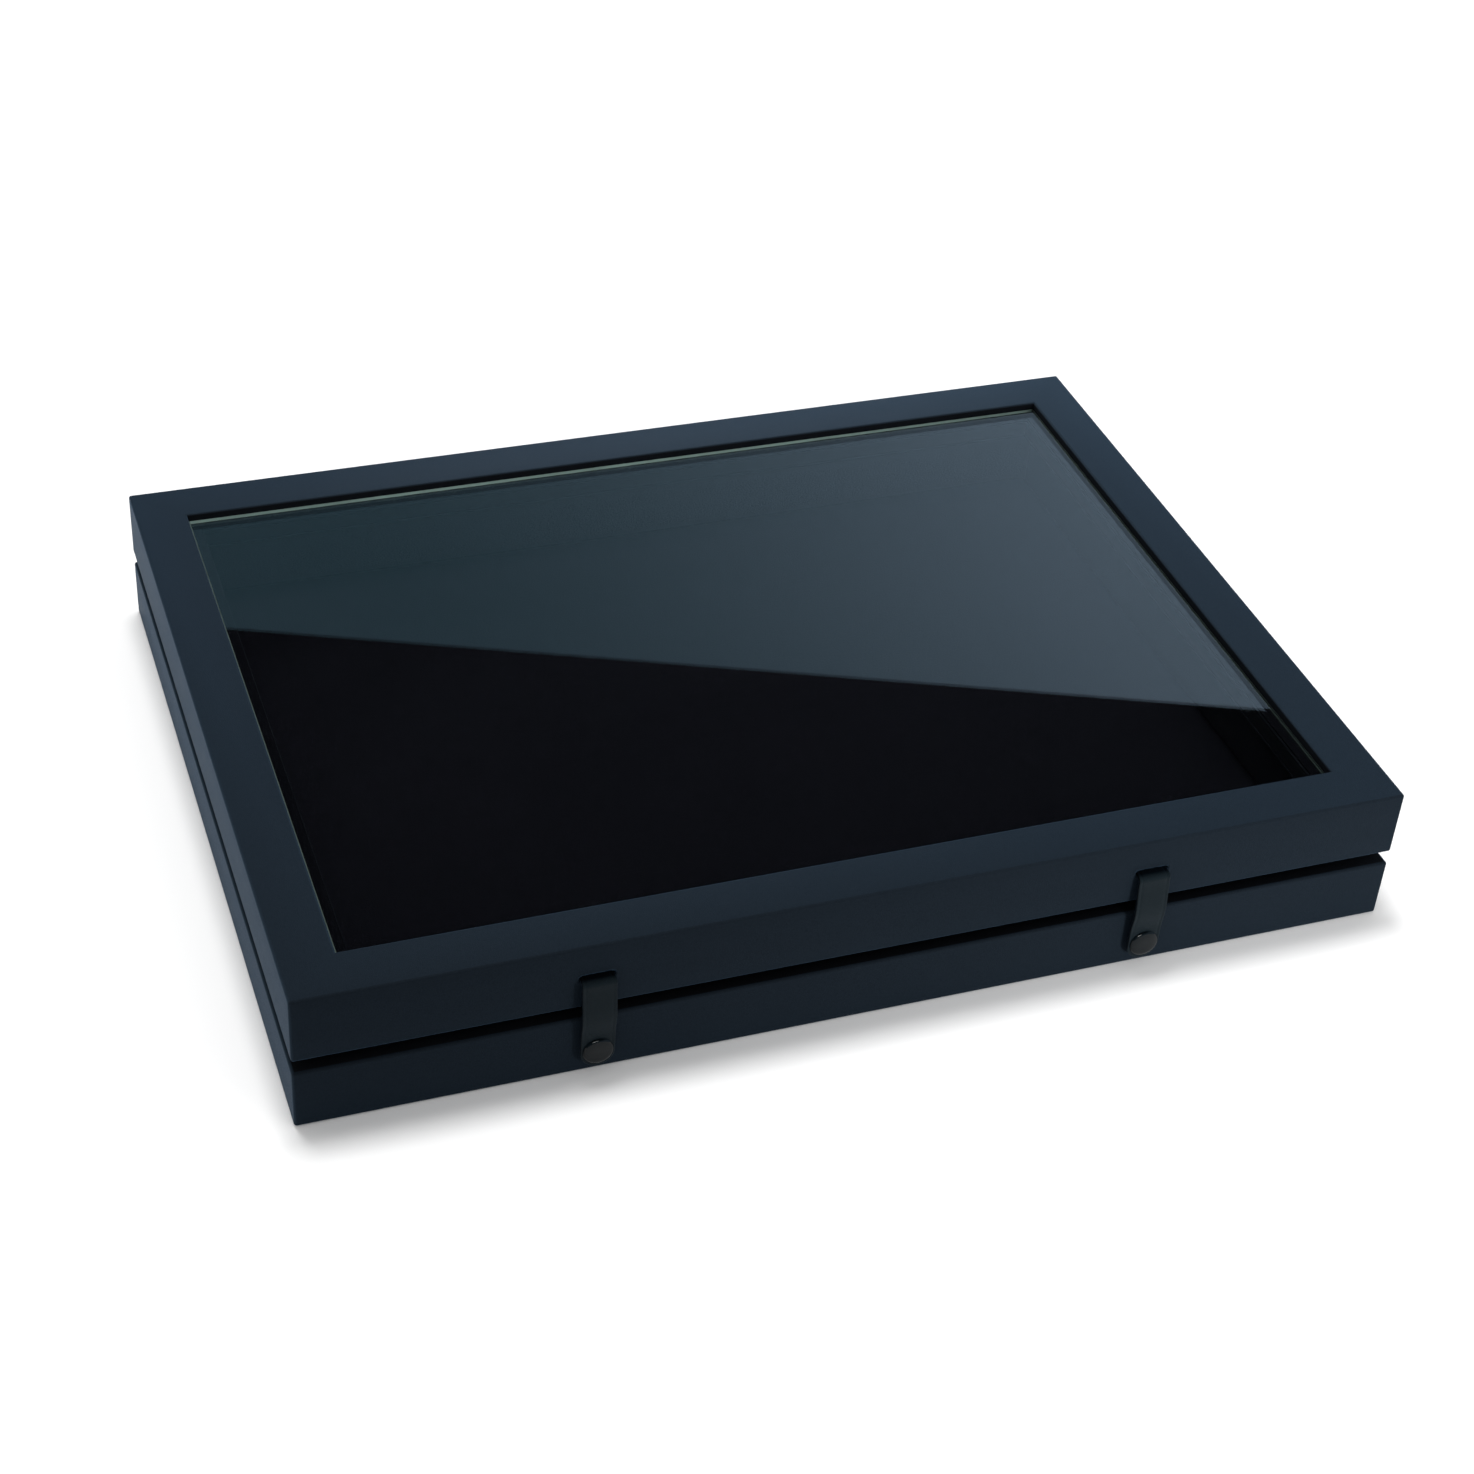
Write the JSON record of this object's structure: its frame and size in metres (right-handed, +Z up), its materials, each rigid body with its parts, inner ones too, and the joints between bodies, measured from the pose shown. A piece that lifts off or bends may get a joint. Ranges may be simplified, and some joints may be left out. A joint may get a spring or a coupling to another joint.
{
  "type": "display case",
  "caption": "Flat dark leatherette display case with a hinged glass lid, a raised inner neck, a velvet pad and snap-stud straps at the front.",
  "frame": {"origin": "middle of the flat underside, on the plane the case rests on", "axes": "+X along the width, +Y towards the hinges, +Z up; the straps face -Y"},
  "size_m": [0.4, 0.3074, 0.055],
  "materials": {
    "leatherette": "fine grained leatherette",
    "strap_leather": "smooth coated strap",
    "board": "raw fibreboard",
    "black_board": "dyed fibreboard",
    "velvet": "short pile",
    "lining": "lining paper",
    "glass": "clear",
    "tape": "foam tape",
    "cap_metal": "black nickel",
    "nickel": "nickel plated"
  },
  "bodies": {
    "base": {"base_front_board": "board", "base_back_board": "board", "base_left_board": "board", "base_right_board": "board", "base_bottom_panel": "board", "base_cover": "leatherette", "underside_lining": "lining", "display_pad": "velvet", "neck_front": "velvet", "neck_back": "velvet", "neck_left": "velvet", "neck_right": "velvet", "press_stud_left": "nickel", "press_stud_right": "nickel", "hinge_left_base_leaf": "nickel", "hinge_left_pin": "nickel", "hinge_left_base_screw_1": "nickel", "hinge_left_base_screw_2": "nickel", "hinge_right_base_leaf": "nickel", "hinge_right_pin": "nickel", "hinge_right_base_screw_1": "nickel", "hinge_right_base_screw_2": "nickel"},
    "lid": {"lid_front_rail": "black_board", "lid_back_rail": "black_board", "lid_left_rail": "black_board", "lid_right_rail": "black_board", "lid_cover": "leatherette", "glass_pane": "glass", "glass_bedding_tape": "tape", "hinge_left_lid_leaf": "nickel", "hinge_left_lid_screw_1": "nickel", "hinge_left_lid_screw_2": "nickel", "hinge_right_lid_leaf": "nickel", "hinge_right_lid_screw_1": "nickel", "hinge_right_lid_screw_2": "nickel", "strap_left_root": "strap_leather", "strap_right_root": "strap_leather"},
    "strap_left": {"strap_left": "strap_leather", "strap_left_cap": "cap_metal", "strap_left_socket": "nickel"},
    "strap_right": {"strap_right": "strap_leather", "strap_right_cap": "cap_metal", "strap_right_socket": "nickel"}
  },
  "joints": [
    {"name": "lid_hinge", "type": "hinge", "parent": "base", "child": "lid", "pos_m": [0, 0.15, 0.0263], "axis": [-1, 0, 0], "range_deg": [0, 105]},
    {"name": "strap_left_hinge", "type": "hinge", "parent": "lid", "child": "strap_left", "pos_m": [-0.0987, -0.1515, 0.0412], "axis": [-1, 0, 0], "range_deg": [0, 120]},
    {"name": "strap_right_hinge", "type": "hinge", "parent": "lid", "child": "strap_right", "pos_m": [0.1021, -0.1515, 0.0412], "axis": [-1, 0, 0], "range_deg": [0, 120]}
  ]
}
